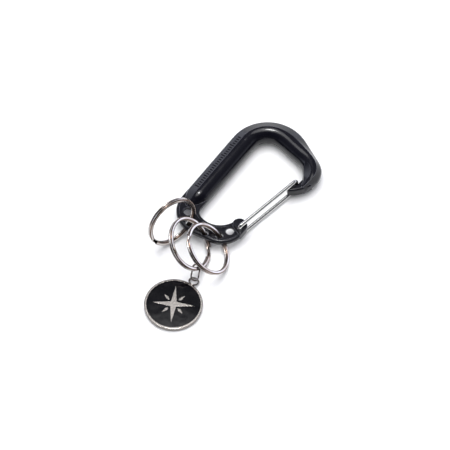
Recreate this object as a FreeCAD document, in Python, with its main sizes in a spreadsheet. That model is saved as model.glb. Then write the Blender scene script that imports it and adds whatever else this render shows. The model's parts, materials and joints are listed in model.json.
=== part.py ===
import FreeCAD, Part
import math
import os

# Carabiner keyring: a forged D carabiner with a sprung wire gate, three split
# rings threaded through its pierced end plate, and a round enamelled tag that
# hangs from the middle ring on a small link.
#
# Row frame: millimetres, +Z up, the keyring lies flat with its underside at
# Z = 0.  The spine of the carabiner runs along +Y on the -X side and the gate
# is on the +X side.  The origin is under the middle of the whole keyring.
# The carabiner's own parts are drawn about its middle plane and then placed.

V = FreeCAD.Vector
Z_AXIS = V(0, 0, 1)
doc = FreeCAD.newDocument("carabiner_keyring")

# ---------------------------------------------------------------- driving sheet

sheet = doc.addObject("Spreadsheet::Sheet", "Dims")
DIMS = {
    # place of the carabiner in the row frame
    "shift_x": -1.73,
    "shift_y": 26.67,
    # forged bar
    "bar_height": 10.5,
    "bar_ridge": 0.5,
    "shoulder_ridge": 2.8,
    "bar_edge": 2.3,
    "bar_edge_round": 0.9,
    "spine_outer": 23.3,
    "spine_inner": 11.2,
    # end plate
    "plate_thick": 3.2,
    "plate_round": 1.1,
    "web_thick": 1.8,
    "rim_width": 1.5,
    "knuckle_thick": 5.4,
    "knuckle_radius": 4.0,
    "small_hole_radius": 2.1,
    "hole_chamfer": 0.3,
    "ring_groove": 1.85,
    # nose
    "nose_thick": 5.4,
    "nose_round": 1.1,
    "nose_relief": 0.5,
    # wire gate
    "gate_wire": 2.1,
    "gate_stack": 8.4,
    "gate_bend": 2.1,
    "gate_foot_bend": 1.5,
    "gate_play": 0.05,
    "gate_end_gap": 0.6,
    "hinge_x": 12.0,
    "hinge_y": -25.4,
    "latch_x": 18.96,
    "latch_y": 13.5,
    # split rings
    "ring_outer": 28.0,
    "ring_band": 1.9,
    "coil_thick": 1.1,
    "coil_gap": 0.1,
    "coil_round": 0.5,
    "jog_angle": 12.0,
    # link
    "link_wire": 0.9,
    "link_width": 4.8,
    "link_length": 9.1,
    # tag
    "tag_diameter": 29.4,
    "tag_thick": 2.0,
    "tag_rim": 1.1,
    "tag_recess": 0.7,
    "enamel_drop": 0.15,
    "enamel_play": 0.04,
    "lug_wire": 0.9,
    "lug_radius": 2.4,
    "lug_height": 1.1,
    "lug_droop": 15.0,
}
for row, (alias, value) in enumerate(DIMS.items(), start=1):
    sheet.set(f"A{row}", alias)
    sheet.set(f"B{row}", str(value))
    sheet.setAlias(f"B{row}", alias)
doc.recompute()


def dim(alias):
    """The sheet's value for one driving dimension."""
    return float(sheet.get(alias))


MID_Z = dim("bar_height") / 2
CARABINER = FreeCAD.Placement(V(dim("shift_x"), dim("shift_y"), MID_Z), FreeCAD.Rotation())

# --------------------------------------------------------------- sketch helpers


def at(x, y):
    return V(x, y, 0)


def polar(centre, radius, degrees):
    angle = math.radians(degrees)
    return centre + V(radius * math.cos(angle), radius * math.sin(angle), 0)


def heading(a, b):
    """Angle of the direction from a to b, in degrees."""
    return math.degrees(math.atan2(b.y - a.y, b.x - a.x))


def line(a, b):
    return Part.LineSegment(a, b)


def sweep(centre, radius, start, end):
    """Arc about centre from one angle to another, in degrees."""
    middle = (start + end) / 2
    return Part.Arc(polar(centre, radius, start), polar(centre, radius, middle), polar(centre, radius, end))


def circle(centre, radius):
    return Part.Circle(centre, Z_AXIS, radius)


def plane_of(body, role):
    return next(f for f in body.Origin.OriginFeatures if f.Role == role)


def sketch_on(body, name, edges, role="XY_Plane", offset=FreeCAD.Placement()):
    """Sketch of joined edges on one of the body's own origin planes."""
    sketch = body.newObject("Sketcher::SketchObject", name)
    sketch.AttachmentSupport = [(plane_of(body, role), "")]
    sketch.MapMode = "FlatFace"
    sketch.AttachmentOffset = offset
    for edge in edges:
        sketch.addGeometry(edge, False)
    if sketch.detectMissingPointOnPointConstraints(1e-5):
        sketch.makeMissingPointOnPointCoincident()
    doc.recompute()
    return sketch


def pad(body, name, sketch, length):
    """Pad to both sides of the sketch's plane; length is an expression."""
    feature = body.newObject("PartDesign::Pad", name)
    feature.Profile = sketch
    feature.Midplane = True
    feature.setExpression("Length", length)
    doc.recompute()
    return feature


def pocket_through(body, name, sketch):
    feature = body.newObject("PartDesign::Pocket", name)
    feature.Profile = sketch
    feature.Type = "ThroughAll"
    feature.Midplane = True
    doc.recompute()
    return feature


def edge_names(feature, test):
    edges = feature.Shape.Edges
    return [f"Edge{i}" for i, edge in enumerate(edges, start=1) if test(edge)]


def dress(body, kind, name, base, edges, size):
    """Fillet or chamfer on chosen edges of a feature; size is an expression."""
    feature = body.newObject("PartDesign::" + kind, name)
    feature.Base = (base, edges)
    feature.setExpression("Radius" if kind == "Fillet" else "Size", size)
    doc.recompute()
    return feature


def lies_at(edge, height):
    box = edge.BoundBox
    return abs(box.ZMin - height) < 1e-4 and abs(box.ZMax - height) < 1e-4


# ---------------------------------------------------------------- forged bar

CROWN_OUT = at(-1.54, 17.4)
CROWN_OUT_R = dim("spine_outer") + CROWN_OUT.x
CROWN_IN_R = 7.8
CROWN_IN = at(CROWN_IN_R - dim("spine_inner"), 19.6)
SHOULDER_OUT = at(16.6, 21.3)
SHOULDER_OUT_R = 10.2
SHOULDER_IN = at(3.9, 9.5)
SHOULDER_IN_R = 17.8
NOSE_OUT = at(7.13, 23.84)
NOSE_OUT_R = 20.5


def section(name, outer, inner, half_height, ridge_at=dim("bar_ridge")):
    """Bar section between two points: round inside, two facets meeting a blunt edge outside."""
    half = (outer - inner).Length / 2
    ridge = ridge_at * half / 6
    reach = half + ridge
    ridge_z = math.sqrt(2 * reach * half_height - reach * reach)
    edge_z = dim("bar_edge") * half_height / MID_Z
    blunt = half - dim("bar_edge_round") * half / 6
    top, bottom = V(ridge, ridge_z, 0), V(ridge, -ridge_z, 0)
    upper, lower = V(blunt, edge_z, 0), V(blunt, -edge_z, 0)
    sketch = doc.addObject("Sketcher::SketchObject", name)
    out = (outer - inner).normalize()
    turn = FreeCAD.Rotation(out, Z_AXIS, out.cross(Z_AXIS), "XYZ")
    sketch.Placement = FreeCAD.Placement((outer + inner) / 2, turn)
    sketch.addGeometry(Part.Arc(lower, V(half, 0, 0), upper), False)
    sketch.addGeometry(line(upper, top), False)
    sketch.addGeometry(Part.Arc(top, V(-half, 0, 0), bottom), False)
    sketch.addGeometry(line(bottom, lower), False)
    sketch.detectMissingPointOnPointConstraints(1e-5)
    sketch.makeMissingPointOnPointCoincident()
    return sketch


def lofted(name, stations, ruled=False):
    loft = doc.addObject("Part::Loft", name)
    loft.Sections = [section(f"{name}_{i}", *station) for i, station in enumerate(stations, start=1)]
    loft.Solid = True
    loft.Ruled = ruled
    doc.recompute()
    return loft


def between(a, b, share):
    return a * (1 - share) + b * share


spine_out = -dim("spine_outer")
spine_in = -dim("spine_inner")
spine_foot = (at(spine_out, -20.0), at(spine_in, -20.0), MID_Z)
spine_head = (at(spine_out, CROWN_OUT.y), at(spine_in, CROWN_OUT.y), MID_Z)
tail_stations = [
    spine_foot,
    (at(spine_out + 0.3, -22.5), at(spine_in - 0.5, -22.5), 4.9),
    (at(spine_out + 1.1, -25.0), at(spine_in - 1.6, -25.0), 4.0),
    (at(spine_out + 2.4, -27.3), at(spine_in - 3.2, -27.3), 2.8),
    (at(spine_out + 4.1, -29.3), at(spine_in - 5.0, -29.3), 1.4),
]
crown_stations = [spine_head]
for out_angle, in_angle in ((162, 173), (144, 149), (126, 124.5), (108, 100)):
    outer = polar(CROWN_OUT, CROWN_OUT_R, out_angle)
    inner = polar(CROWN_IN, CROWN_IN_R, in_angle)
    crown_stations.append((outer, inner, MID_Z))
# the ridge moves out towards the blunt edge on its way to the shoulder
top_out = [polar(CROWN_OUT, CROWN_OUT_R, 64.4), polar(SHOULDER_OUT, SHOULDER_OUT_R, 64.4)]
top_in = [polar(CROWN_IN, CROWN_IN_R, 76), polar(SHOULDER_IN, SHOULDER_IN_R, 56)]
for out_angle, share, ridge in ((90, 0.0, 0.8), (77, 0.14, 1.2), (64.4, 0.28, 1.6)):
    outer = polar(CROWN_OUT, CROWN_OUT_R, out_angle)
    crown_stations.append((outer, between(*top_in, share), MID_Z, ridge))
for out_share, share, ridge in ((0.33, 0.6, 2.0), (0.67, 0.93, 2.4)):
    crown_stations.append((between(*top_out, out_share), between(*top_in, share), MID_Z, ridge))
SHOULDER_STEPS = ((64.4, 51, 5.25), (44, 45, 5.2), (22, 36.5, 5.15), (2, 29.5, 5.05), (-14, 23, 4.85))
for out_angle, in_angle, half_height in SHOULDER_STEPS:
    outer = polar(SHOULDER_OUT, SHOULDER_OUT_R, out_angle)
    inner = polar(SHOULDER_IN, SHOULDER_IN_R, in_angle)
    crown_stations.append((outer, inner, half_height, dim("shoulder_ridge")))
crown_stations.append((polar(NOSE_OUT, NOSE_OUT_R, -25), at(20.75, 14.8), 4.4, dim("shoulder_ridge")))
crown_stations.append((polar(NOSE_OUT, NOSE_OUT_R, -33), at(21.4, 13.2), 3.4, dim("shoulder_ridge")))

tail = lofted("bar_tail", tail_stations)
spine = lofted("bar_spine", [spine_foot, spine_head], True)
crown = lofted("bar_crown", crown_stations)

# ---------------------------------------------------------------- split rings, where they lie

RING_R = dim("ring_outer") / 2
BAND_R = RING_R - dim("ring_band") / 2
RING_HALF = dim("coil_thick") + dim("coil_gap") / 2

# name: centre x, centre y, tilt from flat, direction it leans towards, where its step lies
RINGS = {
    "split_ring_left": (-15.48, -45.20, 78.6, -17.7, 250.0),
    "split_ring_middle": (-1.7, -48.9, 45.0, 25.7, 170.0),
    "split_ring_right": (7.2, -45.8, 43.0, 35.0, 0.0),
}


class Lie:
    """Where a split ring lies: resting on the ground, tilted, threaded through the end plate."""

    def __init__(self, x, y, tilt, lean, step):
        tilt = math.radians(tilt)
        rise = RING_R * math.sin(tilt) + RING_HALF * math.cos(tilt)
        self.centre = V(x, y, rise - MID_Z)
        self.level = polar(V(), 1, lean + 90)
        self.normal = polar(V(), math.sin(tilt), lean) + V(0, 0, math.cos(tilt))
        self.uphill = self.normal.cross(self.level)
        drop = math.acos(-self.centre.z / (BAND_R * math.sin(tilt)))
        spots = [self.point(math.degrees(drop)), self.point(-math.degrees(drop))]
        self.hole = max(spots, key=lambda spot: spot.y)
        self.along = self.normal.cross(self.hole - self.centre).normalize()
        self.step = step

    def point(self, degrees):
        """Point on the ring's middle line, counted from its highest point."""
        angle = math.radians(degrees)
        return self.centre + (self.uphill * math.cos(angle) + self.level * math.sin(angle)) * BAND_R

    def placement(self):
        step_way = self.point(self.step) - self.centre
        x_way = step_way.normalize()
        turn = FreeCAD.Rotation(x_way, self.normal.cross(x_way), self.normal, "ZXY")
        return CARABINER.multiply(FreeCAD.Placement(self.centre, turn))


LIES = {name: Lie(*row) for name, row in RINGS.items()}

# ---------------------------------------------------------------- end plate

PLATE_LEFT = at(-8.9, -26.3)
PLATE_LEFT_R = PLATE_LEFT.x - spine_out
PLATE_RIGHT = at(1.7, -26.3)
PLATE_RIGHT_R = 12.9
KNUCKLE_R = dim("knuckle_radius")
KNUCKLE = at(PLATE_RIGHT.x + PLATE_RIGHT_R - KNUCKLE_R, -23.6)
BOWL = at(-4.4, -19.4)
BOWL_R = (KNUCKLE - BOWL).Length - KNUCKLE_R
HEEL_R = 4.3
HEEL = at(spine_in + HEEL_R, BOWL.y - math.sqrt((BOWL_R - HEEL_R) ** 2 - (spine_in + HEEL_R - BOWL.x) ** 2))
# the straight lower edge touches both round corners
taper = math.asin((PLATE_LEFT_R - PLATE_RIGHT_R) / (PLATE_RIGHT - PLATE_LEFT).Length)
SLOPE = heading(PLATE_LEFT, PLATE_RIGHT) - 90 + math.degrees(taper)
HINGE = at(dim("hinge_x"), dim("hinge_y"))


def plate_outline(inset, top):
    """End plate outline drawn in by an inset, closed across the spine at a height."""
    left_r = PLATE_LEFT_R - inset
    right_r = PLATE_RIGHT_R - inset
    bowl_r = BOWL_R + inset
    knuckle_r = KNUCKLE_R - inset
    heel_r = HEEL_R + inset
    meet = heading(KNUCKLE, BOWL)
    heel_way = heading(BOWL, HEEL)
    return [
        line(at(PLATE_LEFT.x - left_r, top), at(PLATE_LEFT.x - left_r, PLATE_LEFT.y)),
        sweep(PLATE_LEFT, left_r, -180, SLOPE),
        line(polar(PLATE_LEFT, left_r, SLOPE), polar(PLATE_RIGHT, right_r, SLOPE)),
        sweep(PLATE_RIGHT, right_r, SLOPE, 0),
        line(at(PLATE_RIGHT.x + right_r, PLATE_RIGHT.y), at(PLATE_RIGHT.x + right_r, KNUCKLE.y)),
        sweep(KNUCKLE, knuckle_r, 0, meet % 360),
        sweep(BOWL, bowl_r, meet % 360 - 180, heel_way),
        sweep(HEEL, heel_r, heel_way, -180),
        line(at(HEEL.x - heel_r, HEEL.y), at(HEEL.x - heel_r, top)),
        line(at(HEEL.x - heel_r, top), at(PLATE_LEFT.x - left_r, top)),
    ]


def web_outline():
    """Thin floor of the plate, between its rims, short of the spine and the knuckle."""
    rim = dim("rim_width")
    left_r = PLATE_LEFT_R - rim
    right_r = PLATE_RIGHT_R - rim
    bowl_r = BOWL_R + rim
    left_end = 186
    right_end = -9
    bowl_start = -27
    bowl_end = 232
    corner = polar(BOWL, bowl_r, bowl_end)
    return [
        sweep(PLATE_LEFT, left_r, left_end - 360, SLOPE),
        line(polar(PLATE_LEFT, left_r, SLOPE), polar(PLATE_RIGHT, right_r, SLOPE)),
        sweep(PLATE_RIGHT, right_r, SLOPE, right_end),
        line(polar(PLATE_RIGHT, right_r, right_end), polar(BOWL, bowl_r, bowl_start)),
        sweep(BOWL, bowl_r, bowl_end - 360, bowl_start),
        line(corner, polar(PLATE_LEFT, left_r, left_end)),
    ]


plate = doc.addObject("PartDesign::Body", "end_plate")
outline_sketch = sketch_on(plate, "plate_sketch", plate_outline(0, -21.0))
outline = pad(plate, "plate_pad", outline_sketch, "Dims.plate_thick")
half_plate = dim("plate_thick") / 2


def rims_the_plate(edge):
    """Face edges of the plate, without the cut across the spine."""
    on_a_face = lies_at(edge, half_plate) or lies_at(edge, -half_plate)
    return on_a_face and edge.BoundBox.YMax < -19.5 and edge.BoundBox.YMin < -21.5


rims = edge_names(outline, rims_the_plate)
plate_round = dress(plate, "Fillet", "plate_rounding", outline, rims, "Dims.plate_round")
pocket_through(plate, "web_cut", sketch_on(plate, "web_sketch", web_outline()))
pad(plate, "web", sketch_on(plate, "web_floor_sketch", web_outline()), "Dims.web_thick")

SMALL_HOLES = {"spine_side": at(-15.6, -31.7), "gate_side": at(8.3, -28.6)}
hole_centres = [lie.hole for lie in LIES.values()] + list(SMALL_HOLES.values())
hole_edges = [circle(centre, dim("small_hole_radius")) for centre in hole_centres]
holes = pocket_through(plate, "plate_holes", sketch_on(plate, "hole_sketch", hole_edges))
half_web = dim("web_thick") / 2


def rims_a_small_hole(edge):
    if not (lies_at(edge, half_web) or lies_at(edge, -half_web)):
        return False
    box = edge.BoundBox
    centre = at((box.XMin + box.XMax) / 2, (box.YMin + box.YMax) / 2)
    return any((centre - hole).Length < 0.1 for hole in SMALL_HOLES.values())


small_rims = edge_names(holes, rims_a_small_hole)
dress(plate, "Chamfer", "small_hole_chamfer", holes, small_rims, "Dims.hole_chamfer")

# thick knuckle that carries the gate's hinge, drilled right through
knuckle_foot = at(8.6, -26.1)
knuckle_edges = [
    sweep(KNUCKLE, KNUCKLE_R, 0, 180),
    line(polar(KNUCKLE, KNUCKLE_R, 180), knuckle_foot),
    line(knuckle_foot, polar(PLATE_RIGHT, PLATE_RIGHT_R, -9.5)),
    sweep(PLATE_RIGHT, PLATE_RIGHT_R, -9.5, 0),
    line(at(KNUCKLE.x + KNUCKLE_R, PLATE_RIGHT.y), at(KNUCKLE.x + KNUCKLE_R, KNUCKLE.y)),
]
knuckle = doc.addObject("PartDesign::Body", "knuckle")
knuckle_sketch = sketch_on(knuckle, "knuckle_sketch", knuckle_edges)
boss = pad(knuckle, "knuckle_pad", knuckle_sketch, "Dims.knuckle_thick")
half_boss = dim("knuckle_thick") / 2
boss_rims = edge_names(boss, lambda e: lies_at(e, half_boss) or lies_at(e, -half_boss))
dress(knuckle, "Fillet", "knuckle_rounding", boss, boss_rims, "Dims.plate_round")

# ---------------------------------------------------------------- nose

LATCH = at(dim("latch_x"), dim("latch_y"))
SEAT = dim("gate_wire") / 2 + dim("gate_play")
tip = polar(NOSE_OUT, NOSE_OUT_R, -53)
hook_top = LATCH.y - dim("gate_wire") / 2 - 0.3
nose_edges = [
    sweep(NOSE_OUT, NOSE_OUT_R, -53, -20),
    line(polar(NOSE_OUT, NOSE_OUT_R, -20), at(22.0, 17.6)),
    line(at(22.0, 17.6), at(LATCH.x + SEAT + 0.25, 16.6)),
    line(at(LATCH.x + SEAT + 0.25, 16.6), at(LATCH.x + SEAT, LATCH.y)),
    Part.Arc(at(LATCH.x + SEAT, LATCH.y), at(LATCH.x + 0.86, LATCH.y - 0.92), at(LATCH.x, hook_top)),
    line(at(LATCH.x, hook_top), at(17.9, hook_top)),
    Part.Arc(at(17.9, hook_top), at(17.42, hook_top - 0.2), at(17.2, hook_top - 0.7)),
    line(at(17.2, hook_top - 0.7), at(17.2, 8.2)),
    Part.Arc(at(17.2, 8.2), at(17.75, 7.25), tip),
]
nose = doc.addObject("PartDesign::Body", "nose")
tongue = pad(nose, "nose_pad", sketch_on(nose, "nose_sketch", nose_edges), "Dims.nose_thick")
half_nose = dim("nose_thick") / 2
nose_rims = edge_names(tongue, lambda e: lies_at(e, half_nose) or lies_at(e, -half_nose))
dress(nose, "Fillet", "nose_rounding", tongue, nose_rims, "Dims.nose_round")

# ---------------------------------------------------------------- frame, in one piece

hinge_bore = doc.addObject("Part::Cylinder", "hinge_bore")
hinge_bore.setExpression("Radius", "Dims.gate_wire / 2 + Dims.gate_play")
hinge_bore.setExpression("Height", "Dims.bar_height")
hinge_bore.Placement = FreeCAD.Placement(HINGE - V(0, 0, MID_Z), FreeCAD.Rotation())
# rounded grooves that let each ring swing through its hole and under the plate's rim
grooves = []
for name, lie in LIES.items():
    groove = doc.addObject("Part::Torus", name.replace("split_ring", "groove"))
    groove.setExpression("Radius1", "(Dims.ring_outer - Dims.ring_band) / 2")
    groove.setExpression("Radius2", "Dims.ring_groove")
    groove.Placement = FreeCAD.Placement(lie.centre, FreeCAD.Rotation(Z_AXIS, lie.normal))
    grooves.append(groove)
# lens-shaped relief on the inner side of the shoulder, above and below: the bite of a cone
RELIEF_WAY = 35.0
RELIEF_TILT = math.radians(52)
RELIEF_R = 10.0
relief_reach = MID_Z - dim("nose_relief")
relief_spot = polar(SHOULDER_IN, SHOULDER_IN_R + MID_Z - relief_reach * math.cos(RELIEF_TILT), RELIEF_WAY)
relief_axis = polar(relief_spot, -RELIEF_R, RELIEF_WAY)
relief_z = relief_reach * math.sin(RELIEF_TILT)
reliefs = []
for side, over in (("top", 0), ("bottom", 180)):
    relief = doc.addObject("Part::Cone", f"relief_{side}")
    relief.Radius1 = RELIEF_R - 1.6 * math.tan(RELIEF_TILT)
    relief.Radius2 = RELIEF_R + 2.4 * math.tan(RELIEF_TILT)
    relief.Height = 4
    turn = FreeCAD.Rotation(V(1, 0, 0), over)
    relief.Placement = FreeCAD.Placement(relief_axis + turn.multVec(V(0, 0, relief_z - 1.6)), turn)
    reliefs.append(relief)
blank = doc.addObject("Part::MultiFuse", "frame_blank")
blank.Shapes = [tail, spine, crown, plate, knuckle, nose]
blank.Refine = False
cutters = doc.addObject("Part::MultiFuse", "frame_cutters")
cutters.Shapes = [hinge_bore] + grooves + reliefs
frame = doc.addObject("Part::Cut", "frame")
frame.Base = blank
frame.Tool = cutters
doc.recompute()
frame.Placement = CARABINER

# ---------------------------------------------------------------- wire gate

gate = doc.addObject("PartDesign::Body", "wire_gate")
half_stack = dim("gate_stack") / 2
bend = dim("gate_bend")
gate_length = (LATCH - HINGE).Length
end_z = dim("gate_end_gap")
foot = dim("gate_foot_bend")
gate_path = [
    line(V(0, end_z, 0), V(0, half_stack - foot, 0)),
    sweep(V(foot, half_stack - foot, 0), foot, 180, 90),
    line(V(foot, half_stack, 0), V(gate_length - bend, half_stack, 0)),
    sweep(V(gate_length - bend, half_stack - bend, 0), bend, 90, 0),
    line(V(gate_length, half_stack - bend, 0), V(gate_length, bend - half_stack, 0)),
    sweep(V(gate_length - bend, bend - half_stack, 0), bend, 0, -90),
    line(V(gate_length - bend, -half_stack, 0), V(foot, -half_stack, 0)),
    sweep(V(foot, foot - half_stack, 0), foot, -90, -180),
    line(V(0, foot - half_stack, 0), V(0, -end_z, 0)),
]
path = sketch_on(gate, "gate_path", gate_path, "XZ_Plane")
wire_end = FreeCAD.Placement(V(0, 0, end_z), FreeCAD.Rotation())
profile = sketch_on(gate, "gate_profile", [circle(V(), dim("gate_wire") / 2)], "XY_Plane", wire_end)
gate_pipe = gate.newObject("PartDesign::AdditivePipe", "gate_wire")
gate_pipe.Profile = profile
gate_pipe.Spine = (path, [f"Edge{i}" for i in range(1, len(gate_path) + 1)])
doc.recompute()
gate_turn = FreeCAD.Rotation(Z_AXIS, heading(HINGE, LATCH))
gate.Placement = CARABINER.multiply(FreeCAD.Placement(HINGE, gate_turn))

# ---------------------------------------------------------------- split rings


def coil_profile(radius, level):
    """Rounded rectangle of one turn of flat wire, centred at a radius and a height."""
    a = dim("ring_band") / 2
    b = dim("coil_thick") / 2
    r = dim("coil_round")
    edges = []
    for x, y, start in ((a - r, b - r, 0), (r - a, b - r, 90), (r - a, r - b, 180), (a - r, r - b, 270)):
        centre = at(radius + x, level + y)
        edges.append(sweep(centre, r, start, start + 90))
        end = polar(centre, r, start + 90)
        side = b if start % 180 else a
        edges.append(line(end, polar(end, 2 * (side - r), start + 180)))
    return edges


def turned(degrees):
    """Attachment offset that turns a sketch about the ring's axis."""
    return FreeCAD.Placement(V(), FreeCAD.Rotation(V(0, 1, 0), degrees))


def split_ring(name, placement):
    """Flat wire wound twice round, with one step from the upper turn to the lower."""
    ring = doc.addObject("PartDesign::Body", name)
    level = (dim("coil_thick") + dim("coil_gap")) / 2
    jog = dim("jog_angle")
    for turn, height in (("upper", level), ("lower", -level)):
        sketch = sketch_on(ring, f"{name}_{turn}_sketch", coil_profile(-BAND_R, height), "XZ_Plane")
        coil = ring.newObject("PartDesign::Revolution", f"{name}_{turn}")
        coil.Profile = sketch
        coil.ReferenceAxis = (sketch, ["V_Axis"])
        coil.Midplane = True
        coil.setExpression("Angle", "360 - 2 * Dims.jog_angle")
        doc.recompute()
    steps = 6
    sections = []
    for i in range(steps + 1):
        share = i / steps
        height = level * math.cos(math.pi * share)
        angle = -jog + 2 * jog * share
        profile = coil_profile(BAND_R, height)
        sections.append(sketch_on(ring, f"{name}_step_{i}", profile, "XZ_Plane", turned(angle)))
    step = ring.newObject("PartDesign::AdditiveLoft", f"{name}_step")
    step.Profile = sections[0]
    step.Sections = sections[1:]
    doc.recompute()
    ring.Placement = placement
    return ring


rings = [split_ring(name, lie.placement()) for name, lie in LIES.items()]

# ---------------------------------------------------------------- link and tag, where they lie

TAG_R = dim("tag_diameter") / 2
LUG_REACH = TAG_R + dim("lug_radius") - 0.1
LINK_RUN = 6.5
LINK_HEADING = -68.0
LINK_TWIST = -22.0
LINK_SLIDE = -2.3
TAG_HEADING = 89.5
middle = LIES["split_ring_middle"]
link_top = middle.point(236)
lug_z = dim("lug_height") - MID_Z
across = math.sqrt(LINK_RUN ** 2 - (link_top.z - lug_z) ** 2)
lug_spot = polar(link_top, across, LINK_HEADING)
lug_spot.z = lug_z
tag_centre = polar(lug_spot, LUG_REACH, TAG_HEADING + 180)
tag_centre.z = -MID_Z

# ---------------------------------------------------------------- link

link = doc.addObject("PartDesign::Body", "link")
link_r = dim("link_wire") / 2
link_half = (dim("link_width") - dim("link_wire")) / 2
link_straight = dim("link_length") - dim("link_width")
sides = [circle(V(link_half, 0, 0), link_r), circle(V(-link_half, 0, 0), link_r)]
side_sketch = sketch_on(link, "link_side_sketch", sides, "YZ_Plane")
pad(link, "link_sides", side_sketch, "Dims.link_length - Dims.link_width")
for end, shift in (("far", link_straight / 2), ("near", -link_straight / 2)):
    place = FreeCAD.Placement(V(0, 0, shift), FreeCAD.Rotation())
    sketch = sketch_on(link, f"link_{end}_sketch", [circle(V(link_half, 0, 0), link_r)], "YZ_Plane", place)
    bow = link.newObject("PartDesign::Revolution", f"link_{end}_end")
    bow.Profile = sketch
    bow.ReferenceAxis = (sketch, ["V_Axis"])
    bow.Angle = 180
    bow.Reversed = end == "far"
    doc.recompute()
run = (lug_spot - link_top).normalize()
wire_way = middle.normal.cross(link_top - middle.centre).normalize()
link_normal = (wire_way - run * wire_way.dot(run)).normalize()
flat = FreeCAD.Rotation(run, link_normal.cross(run), link_normal, "XZY")
link_turn = FreeCAD.Rotation(run, LINK_TWIST).multiply(flat)
link_centre = link_top + run * (dim("link_length") / 2 - dim("link_wire") / 2 + LINK_SLIDE)
link.Placement = CARABINER.multiply(FreeCAD.Placement(link_centre, link_turn))

# ---------------------------------------------------------------- tag


def ring_of(corners):
    return [line(a, b) for a, b in zip(corners, corners[1:] + corners[:1])]


def motif():
    """Compass rose left standing in the tag's face: a four-pointed star and four darts."""
    corners = []
    for i in range(4):
        corners.append(polar(V(), 10.6, 30 + 90 * i))
        corners.append(polar(V(), 2.0, 75 + 90 * i))
    edges = ring_of(corners)
    for i in range(4):
        way = 75 + 90 * i
        side = polar(V(), 0.75, way + 90)
        waist = polar(V(), 4.6, way)
        edges += ring_of([polar(V(), 3.3, way), waist + side, polar(V(), 7.4, way), waist - side])
    return edges


recess_r = TAG_R - dim("tag_rim")
tag = doc.addObject("PartDesign::Body", "tag_medal")
disc_sketch = sketch_on(tag, "tag_disc_sketch", [circle(V(), TAG_R)])
disc = tag.newObject("PartDesign::Pad", "tag_disc")
disc.Profile = disc_sketch
disc.setExpression("Length", "Dims.tag_thick")
doc.recompute()
tag_edges = edge_names(disc, lambda e: lies_at(e, 0) or lies_at(e, dim("tag_thick")))
dress(tag, "Fillet", "tag_edge", disc, tag_edges, "Dims.tag_rim / 3")
face = FreeCAD.Placement(V(0, 0, dim("tag_thick")), FreeCAD.Rotation())
recess_sketch = sketch_on(tag, "tag_recess_sketch", [circle(V(), recess_r)] + motif(), "XY_Plane", face)
recess = tag.newObject("PartDesign::Pocket", "tag_recess")
recess.Profile = recess_sketch
recess.setExpression("Length", "Dims.tag_recess")
doc.recompute()
lug = tag.newObject("PartDesign::AdditiveTorus", "lug")
lug.setExpression("Radius1", "Dims.lug_radius")
lug.setExpression("Radius2", "Dims.lug_wire / 2")
lug.AttachmentSupport = [(plane_of(tag, "XY_Plane"), "")]
lug.MapMode = "FlatFace"
droop = FreeCAD.Rotation(V(-1, 0, 0), dim("lug_droop"))
lug.AttachmentOffset = FreeCAD.Placement(V(0, LUG_REACH, dim("lug_height")), droop)
doc.recompute()
tag_place = CARABINER.multiply(FreeCAD.Placement(tag_centre, FreeCAD.Rotation(Z_AXIS, TAG_HEADING - 90)))
tag.Placement = tag_place

enamel = doc.addObject("PartDesign::Body", "tag_enamel")
floor = FreeCAD.Placement(V(0, 0, dim("tag_thick") - dim("tag_recess")), FreeCAD.Rotation())
enamel_edges = [circle(V(), recess_r - dim("enamel_play"))] + motif()
enamel_sketch = sketch_on(enamel, "enamel_sketch", enamel_edges, "XY_Plane", floor)
fill = enamel.newObject("PartDesign::Pad", "enamel_fill")
fill.Profile = enamel_sketch
fill.setExpression("Length", "Dims.tag_recess - Dims.enamel_drop")
doc.recompute()
enamel.Placement = tag_place

# ---------------------------------------------------------------- check and write

nodes = [frame, gate] + rings + [link, tag, enamel]
for item in doc.Objects:
    if "Invalid" in item.State or "Error" in item.State:
        raise RuntimeError(f"{item.Name} did not compute: {item.State}")
os.makedirs("parts", exist_ok=True)
for node in nodes:
    node.Label = node.Name
    if node.Shape.isNull() or not node.Shape.isValid() or len(node.Shape.Solids) != 1:
        raise RuntimeError(f"{node.Name} is not one valid solid")
    node.Shape.exportStep(f"parts/{node.Name}.step")
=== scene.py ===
import json
import math

import bpy
import numpy as np
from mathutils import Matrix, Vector


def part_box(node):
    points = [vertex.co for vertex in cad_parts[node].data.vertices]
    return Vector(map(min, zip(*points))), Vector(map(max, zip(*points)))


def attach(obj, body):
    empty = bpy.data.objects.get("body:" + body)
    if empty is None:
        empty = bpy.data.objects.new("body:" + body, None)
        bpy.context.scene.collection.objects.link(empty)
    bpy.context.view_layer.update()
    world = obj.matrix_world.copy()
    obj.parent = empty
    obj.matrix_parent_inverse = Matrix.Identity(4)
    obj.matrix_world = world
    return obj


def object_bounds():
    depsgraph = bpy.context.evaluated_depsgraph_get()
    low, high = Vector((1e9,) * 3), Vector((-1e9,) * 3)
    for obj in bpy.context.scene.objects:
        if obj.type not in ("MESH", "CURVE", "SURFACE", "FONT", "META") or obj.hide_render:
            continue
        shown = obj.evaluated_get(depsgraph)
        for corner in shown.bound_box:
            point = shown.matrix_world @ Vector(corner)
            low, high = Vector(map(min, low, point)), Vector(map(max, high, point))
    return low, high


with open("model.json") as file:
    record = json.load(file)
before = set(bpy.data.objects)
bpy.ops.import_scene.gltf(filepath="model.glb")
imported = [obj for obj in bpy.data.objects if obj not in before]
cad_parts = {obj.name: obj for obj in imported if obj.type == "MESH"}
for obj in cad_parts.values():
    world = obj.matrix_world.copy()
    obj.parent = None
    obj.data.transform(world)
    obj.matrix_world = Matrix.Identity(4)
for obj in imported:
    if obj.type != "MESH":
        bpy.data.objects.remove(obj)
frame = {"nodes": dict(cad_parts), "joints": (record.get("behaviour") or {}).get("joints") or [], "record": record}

MM = 0.001
NODES = frame["nodes"]
GATE_WIRE_RADIUS = 1.05 * MM
cad_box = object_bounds()


# ---------------------------------------------------------------- node helpers


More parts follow.
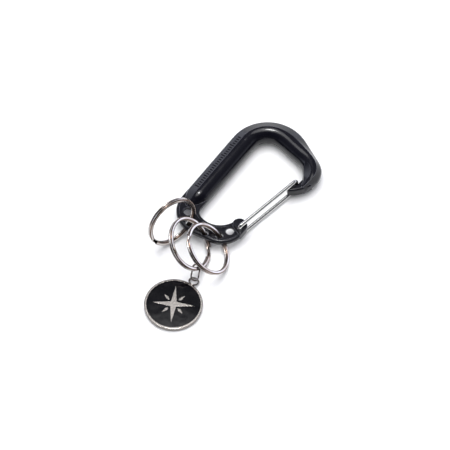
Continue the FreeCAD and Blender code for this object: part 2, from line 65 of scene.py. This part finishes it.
def ring_axis(node):
    """Centre of a ring and the way its points spread least, which is its axis."""
    points = np.array([vertex.co for vertex in NODES[node].data.vertices])
    centre = (points.min(axis=0) + points.max(axis=0)) / 2
    ways = np.linalg.eigh(np.cov((points - centre).T))[1]
    return tuple(float(c) for c in centre), tuple(float(c) for c in ways[:, 0])


class Shader:
    """A procedural material and short calls that add and join its nodes."""

    def __init__(self, name, colour, roughness, metallic=0.0, ior=1.5):
        self.material = bpy.data.materials.new(name)
        self.material.use_nodes = True
        self.tree = self.material.node_tree
        self.bsdf = self.tree.nodes["Principled BSDF"]
        self.bsdf.inputs["Base Color"].default_value = (*colour, 1.0)
        self.bsdf.inputs["Roughness"].default_value = roughness
        self.bsdf.inputs["Metallic"].default_value = metallic
        self.bsdf.inputs["IOR"].default_value = ior
        self.place = self.tree.nodes.new("ShaderNodeTexCoord").outputs["Object"]

    def node(self, kind, **inputs):
        node = self.tree.nodes.new(kind)
        for name, value in inputs.items():
            self.put(node.inputs[name.replace("_", " ")], value)
        return node

    def put(self, socket, value):
        if isinstance(value, bpy.types.NodeSocket):
            self.tree.links.new(value, socket)
        else:
            socket.default_value = value

    def stretched(self, scale, turn=(0.0, 0.0, 0.0), where=None):
        mapping = self.node("ShaderNodeMapping", Vector=where or self.place, Scale=scale, Rotation=turn)
        return mapping.outputs["Vector"]

    def noise(self, scale, detail=4.0, where=None):
        node = self.node("ShaderNodeTexNoise", Vector=where or self.place, Scale=scale, Detail=detail)
        return node.outputs["Fac"]

    def spread(self, value, low, high, out_low=0.0, out_high=1.0):
        """Maps a range of a value to another range, clamped."""
        node = self.tree.nodes.new("ShaderNodeMapRange")
        for socket, number in zip(node.inputs, (value, low, high, out_low, out_high)):
            self.put(socket, number)
        return node.outputs["Result"]

    def blend(self, share, first, second):
        """Mixes two colours by a share."""
        node = self.tree.nodes.new("ShaderNodeMix")
        node.data_type = "RGBA"
        self.put(node.inputs["Factor"], share)
        for socket, colour in ((node.inputs[6], first), (node.inputs[7], second)):
            self.put(socket, (*colour, 1.0) if isinstance(colour, tuple) else colour)
        return node.outputs[2]

    def math(self, operation, first, second):
        node = self.tree.nodes.new("ShaderNodeMath")
        node.operation = operation
        self.put(node.inputs[0], first)
        self.put(node.inputs[1], second)
        return node.outputs[0]

    def vectors(self, operation, first, second=(0.0, 0.0, 0.0), result="Vector"):
        """Works on two vectors, such as their difference or their dot product."""
        node = self.tree.nodes.new("ShaderNodeVectorMath")
        node.operation = operation
        self.put(node.inputs[0], first)
        self.put(node.inputs[1], second)
        return node.outputs[result]

    def across_wire(self, node, scale):
        """Place across a ring's wire: distance from the ring's axis and height along it."""
        centre, axis = ring_axis(node)
        local = self.vectors("SUBTRACT", self.place, centre)
        height = self.vectors("DOT_PRODUCT", local, axis, "Value")
        radius = self.vectors("LENGTH", self.vectors("CROSS_PRODUCT", local, axis), result="Value")
        across = self.node("ShaderNodeCombineXYZ", X=radius, Y=height)
        return self.stretched((scale, scale, scale), where=across.outputs["Vector"])

    def soft_edge(self, radius):
        """Normal that rounds every edge by a small radius."""
        node = self.node("ShaderNodeBevel", Radius=radius)
        node.samples = 4
        return node.outputs["Normal"]

    def edges(self, soft):
        """Share of edge: how far the softened normal leaves the face's own."""
        face = self.tree.nodes.new("ShaderNodeNewGeometry").outputs["True Normal"]
        return self.spread(self.vectors("DOT_PRODUCT", soft, face, "Value"), 0.998, 0.93)

    def painted_crevice_shade(self, distance):
        """Share of painted shade in crevices: high where neighbouring walls hide the surface, and callers darken
        the colour there as if shadowed.
        """
        node = self.node("ShaderNodeAmbientOcclusion", Distance=distance)
        node.samples = 6
        return self.spread(node.outputs["AO"], 0.82, 0.42)

    def bump(self, height, distance, normal=None):
        """Fine relief, at most a distance deep, over the face or over a softened normal."""
        node = self.node("ShaderNodeBump", Height=height, Distance=distance, Strength=1.0)
        if normal:
            self.put(node.inputs["Normal"], normal)
        self.put(self.bsdf.inputs["Normal"], node.outputs["Normal"])

    def set(self, name, value):
        self.put(self.bsdf.inputs[name], value)


# ---------------------------------------------------------------- materials


def anodised_black():
    """Glossy black anodising, faintly blue, lighter grey along its edges: partly rubbed wear, partly a painted
    highlight on the ridges.
    """
    shader = Shader("anodised_black", (0.004, 0.004, 0.007), 0.2, ior=1.38)
    soft = shader.soft_edge(0.3 * MM)
    rub_and_ridge_highlight = shader.math("MULTIPLY", shader.edges(soft), shader.spread(shader.noise(300.0, 6.0), 0.25, 0.6))
    cloud = shader.blend(shader.noise(90.0), (0.002, 0.002, 0.004), (0.006, 0.006, 0.010))
    # edges lightened towards (0.20, 0.205, 0.24): partly edge wear, partly a painted highlight along the ridges
    shader.set("Base Color", shader.blend(rub_and_ridge_highlight, cloud, (0.20, 0.205, 0.24)))
    gloss = shader.spread(shader.noise(260.0, 6.0), 0.3, 0.7, 0.10, 0.17)
    shader.set("Roughness", shader.math("ADD", gloss, shader.math("MULTIPLY", rub_and_ridge_highlight, 0.12)))
    shader.bump(shader.noise(1900.0, 2.0), 0.005 * MM, normal=soft)
    return shader.material


def etched_mark():
    """Matt strokes of the etched scale: the anodising with its gloss taken off."""
    shader = Shader("etched_mark", (0.004, 0.004, 0.005), 0.9, ior=1.12)
    grain = shader.noise(2400.0, 3.0)
    shader.set("Base Color", shader.blend(grain, (0.002, 0.002, 0.003), (0.008, 0.008, 0.010)))
    shader.bump(grain, 0.01 * MM)
    return shader.material


def gate_heading():
    """Angle of the gate's wire, from its hinge to the far corner of its box."""
    hinge = next(joint for joint in frame["joints"] if joint["name"] == "gate_hinge")
    far_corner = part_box("wire_gate")[1]
    run_x = far_corner.x - GATE_WIRE_RADIUS - hinge["pos_m"][0]
    run_y = far_corner.y - GATE_WIRE_RADIUS - hinge["pos_m"][1]
    return math.atan2(run_y, run_x)


def gate_steel():
    """Drawn stainless wire: polished, with die lines along its length, and painted shade where nearby parts hide
    it.
    """
    shader = Shader("gate_steel", (0.66, 0.65, 0.63), 0.2, metallic=1.0)
    turn = (0.0, 0.0, -gate_heading())
    lines = shader.noise(1.0, 5.0, shader.stretched((60.0, 5200.0, 5200.0), turn))
    steel = shader.blend(lines, (0.46, 0.45, 0.43), (0.88, 0.87, 0.85))
    # painted shade: the colour darkens towards near-black where neighbouring walls hide the wire
    shader.set("Base Color", shader.blend(shader.painted_crevice_shade(1.2 * MM), steel, (0.10, 0.09, 0.08)))
    shader.set("Roughness", shader.spread(lines, 0.3, 0.7, 0.10, 0.22))
    shader.bump(lines, 0.006 * MM)
    return shader.material


def ring_nickel(name, node):
    """Nickel plating with dark streaks along the wire painted in as reflections, warm tarnish patches, and painted
    shade between the coils.
    """
    shader = Shader(name, (0.62, 0.57, 0.53), 0.14, metallic=1.0)
    # painted reflection: dark warm bands along the wire in the base colour, standing in for the dark reflections
    # of a polished wire
    reflection_streaks = shader.noise(1.0, 2.0, shader.across_wire(node, 1500.0))
    painted_reflection_share = shader.spread(reflection_streaks, 0.44, 0.56)
    bright = shader.blend(shader.noise(180.0, 3.0), (0.54, 0.51, 0.49), (0.80, 0.78, 0.76))
    warm = shader.blend(painted_reflection_share, (0.12, 0.075, 0.055), bright)
    patch = shader.spread(shader.noise(130.0, 4.0), 0.46, 0.64)
    worn = shader.blend(shader.math("MULTIPLY", patch, 0.6), warm, (0.33, 0.26, 0.22))
    # painted shade: the colour darkens to near-black where the coils and nearby parts hide each other
    shader.set("Base Color", shader.blend(shader.painted_crevice_shade(1.1 * MM), worn, (0.045, 0.030, 0.024)))
    shader.set("Roughness", shader.spread(shader.noise(900.0, 6.0), 0.3, 0.7, 0.10, 0.20))
    shader.bump(shader.noise(1500.0, 4.0), 0.0012 * MM)
    return shader.material


def tag_nickel():
    """Satin nickel of the tag, with a fine grain one way and edges rubbed bright."""
    shader = Shader("tag_nickel", (0.58, 0.56, 0.54), 0.3, metallic=1.0)
    soft = shader.soft_edge(0.15 * MM)
    grain = shader.noise(1.0, 5.0, shader.stretched((2600.0, 500.0, 2600.0)))
    satin = shader.blend(grain, (0.24, 0.22, 0.205), (0.36, 0.34, 0.32))
    shader.set("Base Color", shader.blend(shader.edges(soft), satin, (0.52, 0.49, 0.46)))
    shader.set("Roughness", shader.spread(grain, 0.3, 0.7, 0.12, 0.20))
    shader.bump(grain, 0.008 * MM, normal=soft)
    return shader.material


def enamel_black():
    """Poured black enamel, wet-looking, with a slow ripple and a few fine specks."""
    shader = Shader("enamel_black", (0.003, 0.003, 0.004), 0.06, ior=1.33)
    speck = shader.spread(shader.noise(5200.0, 1.0), 0.74, 0.80)
    shader.set("Base Color", shader.blend(speck, (0.002, 0.002, 0.003), (0.03, 0.03, 0.034)))
    shader.set("Roughness", shader.spread(shader.noise(160.0), 0.3, 0.7, 0.04, 0.09))
    shader.bump(shader.noise(210.0, 1.0), 0.01 * MM)
    return shader.material


def floor_white():
    """Plain pale table top without gloss."""
    shader = Shader("floor_white", (0.87, 0.87, 0.88), 0.9, ior=1.2)
    shader.set("Specular IOR Level", 0.0)
    return shader.material


# ---------------------------------------------------------------- etched scale on the spine


def add_piece(name, vertices, faces, material, body):
    mesh = bpy.data.meshes.new(name)
    mesh.from_pydata(vertices, [], faces)
    mesh.validate()
    mesh.materials.append(material)
    piece = bpy.data.objects.new(name, mesh)
    bpy.context.scene.collection.objects.link(piece)
    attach(piece, body)
    return piece


FRAME_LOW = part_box("frame")[0]
# the spine's outer facet falls from its ridge to the blunt edge
RIDGE = Vector((FRAME_LOW.x + 5.54 * MM, 0, 10.335 * MM))
EDGE = Vector((FRAME_LOW.x + 0.90 * MM, 0, 7.55 * MM))
FACET = EDGE - RIDGE
FACET_WAY = FACET.normalized()
FACET_OUT = Vector((FACET_WAY.z, 0, -FACET_WAY.x))
MARK_START = FRAME_LOW.y + 22.0 * MM
MARK_PITCH = 1.5 * MM
MARK_COUNT = 25
MARK_HALF_WIDTH = 0.34 * MM
MARK_TOP = 0.6 * MM
MARK_BOTTOM = 3.0 * MM
LONG_MARK_BOTTOM = 3.9 * MM
MARK_SLANT = 0.2
MARK_BACK = -0.05 * MM
MARK_FACE = 0.03 * MM


def facet_point(y, down, proud):
    point = RIDGE + FACET_WAY * down + FACET_OUT * proud
    point.y = y
    return point


def etched_scale(material):
    """A plain scale of slanted strokes along the facet, every fifth one longer."""
    vertices = []
    faces = []
    for i in range(MARK_COUNT):
        bottom = LONG_MARK_BOTTOM if i % 5 == 0 else MARK_BOTTOM
        y = MARK_START + i * MARK_PITCH
        first = len(vertices)
        for proud in (MARK_BACK, MARK_FACE):
            for side, down in ((-1, MARK_TOP), (1, MARK_TOP), (1, bottom), (-1, bottom)):
                slant = (down - MARK_TOP) * MARK_SLANT
                vertices.append(facet_point(y + side * MARK_HALF_WIDTH + slant, down, proud))
        faces.append([first + k for k in (4, 5, 6, 7)])
        faces.append([first + k for k in (3, 2, 1, 0)])
        for k in range(4):
            n = (k + 1) % 4
            faces.append([first + k, first + n, first + 4 + n, first + 4 + k])
    return add_piece("etched_scale", vertices, faces, material, "frame")


# ---------------------------------------------------------------- dressing the frame


def dress(node, material):
    mesh = NODES[node].data
    mesh.materials.clear()
    mesh.materials.append(material)


def dress_all():
    looks = {
        "anodised_black": anodised_black(),
        "gate_steel": gate_steel(),
        "tag_nickel": tag_nickel(),
        "enamel_black": enamel_black(),
    }
    for part in frame["record"]["subparts"]:
        node, slot = part["node"], part["material_slot"]
        dress(node, looks[slot] if slot in looks else ring_nickel(slot + "_" + node, node))


dress_all()
etched_scale(etched_mark())


# ---------------------------------------------------------------- floor, light and camera

GLINT_WAY = (-0.12, 0.10, 0.99)
VIEW_AZIMUTH = math.radians(36.0)
VIEW_ELEVATION = math.radians(58.0)
VIEW_WIDTH = 0.2261
VIEW_CENTRE = Vector((0.32, 2.47, 0.0)) * MM
LENS = 500.0
SENSOR = 36.0
FLOOR_REACH = 3.0


def floor():
    mesh = bpy.data.meshes.new("floor")
    corners = [(x * FLOOR_REACH, y * FLOOR_REACH, 0) for x, y in ((-1, -1), (1, -1), (1, 1), (-1, 1))]
    mesh.from_pydata(corners, [], [(0, 1, 2, 3)])
    mesh.materials.append(floor_white())
    ground = bpy.data.objects.new("floor", mesh)
    ground.location.z = cad_box[0][2]
    bpy.context.scene.collection.objects.link(ground)


def aim(thing, place, target):
    thing.location = place
    thing.rotation_euler = (Vector(target) - Vector(place)).to_track_quat("-Z", "Y").to_euler()


def softbox(name, way, distance, size, radiance):
    """Round soft light, its strength given as the brightness of its face."""
    light = bpy.data.lights.new(name, "AREA")
    light.shape = "DISK"
    light.size = size
    light.energy = radiance * math.pi * math.pi * size * size / 4
    thing = bpy.data.objects.new(name, light)
    bpy.context.scene.collection.objects.link(thing)
    aim(thing, Vector(way).normalized() * distance, (0, 0, 0))
    return thing


def lights():
    """Key and fill light the floor and throw the shadows; glint and glow only reflect."""
    key = softbox("key", way=(-0.20, 0.28, 0.94), distance=0.9, size=0.80, radiance=3.4)
    fill = softbox("fill", way=(0.0, 0.0, 1.0), distance=1.0, size=2.0, radiance=1.6)
    glint = softbox("glint", way=GLINT_WAY, distance=0.9, size=0.18, radiance=44.0)
    glow = softbox("glow", way=GLINT_WAY, distance=1.0, size=0.72, radiance=3.4)
    for light in (key, fill):
        light.visible_glossy = False
    for light in (glint, glow):
        light.visible_diffuse = False


def studio_sky():
    """Bright low walls, darker on the camera's side, and a dim ceiling."""
    world = bpy.data.worlds.new("studio")
    world.use_nodes = True
    tree = world.node_tree
    background = tree.nodes["Background"]
    place = tree.nodes.new("ShaderNodeTexCoord")
    split = tree.nodes.new("ShaderNodeSeparateXYZ")
    ramp = tree.nodes.new("ShaderNodeValToRGB")
    tree.links.new(place.outputs["Generated"], split.inputs[0])
    tree.links.new(split.outputs["Z"], ramp.inputs[0])
    tree.links.new(ramp.outputs[0], background.inputs["Color"])
    toward_camera = tree.nodes.new("ShaderNodeVectorMath")
    toward_camera.operation = "DOT_PRODUCT"
    tree.links.new(place.outputs["Generated"], toward_camera.inputs[0])
    toward_camera.inputs[1].default_value = (math.sin(VIEW_AZIMUTH), -math.cos(VIEW_AZIMUTH), 0.0)
    shade = tree.nodes.new("ShaderNodeMapRange")
    tree.links.new(toward_camera.outputs["Value"], shade.inputs["Value"])
    for name, value in (("From Min", -0.2), ("From Max", 0.5), ("To Min", 1.3), ("To Max", 0.12)):
        shade.inputs[name].default_value = value
    tree.links.new(shade.outputs["Result"], background.inputs["Strength"])
    walls, ceiling = ramp.color_ramp.elements
    walls.position = 0.2
    walls.color = (1.10, 1.14, 1.32, 1.0)
    ceiling.position = 0.45
    ceiling.color = (0.19, 0.195, 0.22, 1.0)
    bpy.context.scene.world = world


def camera():
    lens = bpy.data.cameras.new("camera")
    lens.lens = LENS
    lens.sensor_width = SENSOR
    lens.clip_start = 0.01
    thing = bpy.data.objects.new("camera", lens)
    bpy.context.scene.collection.objects.link(thing)
    flat = math.cos(VIEW_ELEVATION)
    back = Vector((math.sin(VIEW_AZIMUTH) * flat, -math.cos(VIEW_AZIMUTH) * flat, math.sin(VIEW_ELEVATION)))
    aim(thing, VIEW_CENTRE + back * VIEW_WIDTH * LENS / SENSOR, VIEW_CENTRE)
    bpy.context.scene.camera = thing


floor()
studio_sky()
lights()
camera()
bpy.context.scene.view_settings.view_transform = "Standard"
